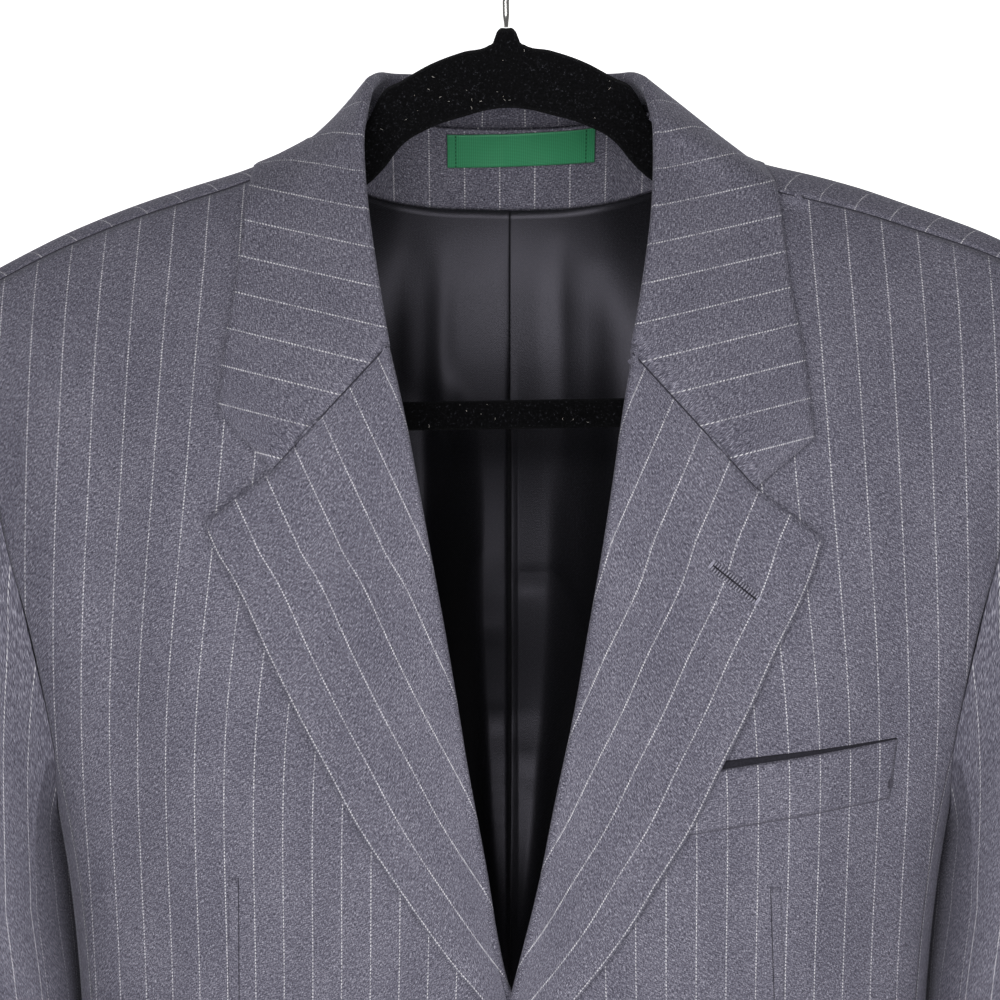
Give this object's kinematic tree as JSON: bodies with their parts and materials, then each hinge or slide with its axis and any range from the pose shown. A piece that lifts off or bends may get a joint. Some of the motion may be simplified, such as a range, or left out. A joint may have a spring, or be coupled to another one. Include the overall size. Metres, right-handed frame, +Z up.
{
  "type": "two-button blazer on a hanger",
  "caption": "Tailored notch-lapel blazer in dark pinstriped worsted, open at the neck to its lining, hung on a flocked hanger with a trouser bar and a wire hook.",
  "frame": {"origin": "the inside top of the hanger's hook, where it bears on its rail", "axes": "+Z up, -Y out of the blazer's front, +X towards the wearer's left"},
  "size_m": [0.625, 0.1934, 0.8834],
  "materials": {
    "worsted": "dark grey melange worsted with a fine dotted light pinstripe, softly pressed",
    "lining": "black twill lining with a soft sheen",
    "label": "plain green woven label tape, bare",
    "button": "dark polished resin with a raised rim",
    "flock": "black velvet flock on the hanger",
    "wire": "plated round wire"
  },
  "bodies": {
    "root": {"front_left": "worsted", "front_right": "worsted", "back_left": "worsted", "back_right": "worsted", "side_left": "worsted", "side_right": "worsted", "upper_sleeve_left": "worsted", "upper_sleeve_right": "worsted", "under_sleeve_left": "worsted", "under_sleeve_right": "worsted", "lapel_left": "worsted", "lapel_right": "worsted", "flap_left": "worsted", "flap_right": "worsted", "collar": "worsted", "breast_welt": "worsted", "neck_facing": "worsted", "back_lining": "lining", "neck_label": "label", "button_upper": "button", "button_lower": "button", "hanger_arms": "flock", "hanger_bar": "flock", "hanger_hook": "wire"}
  },
  "joints": []
}
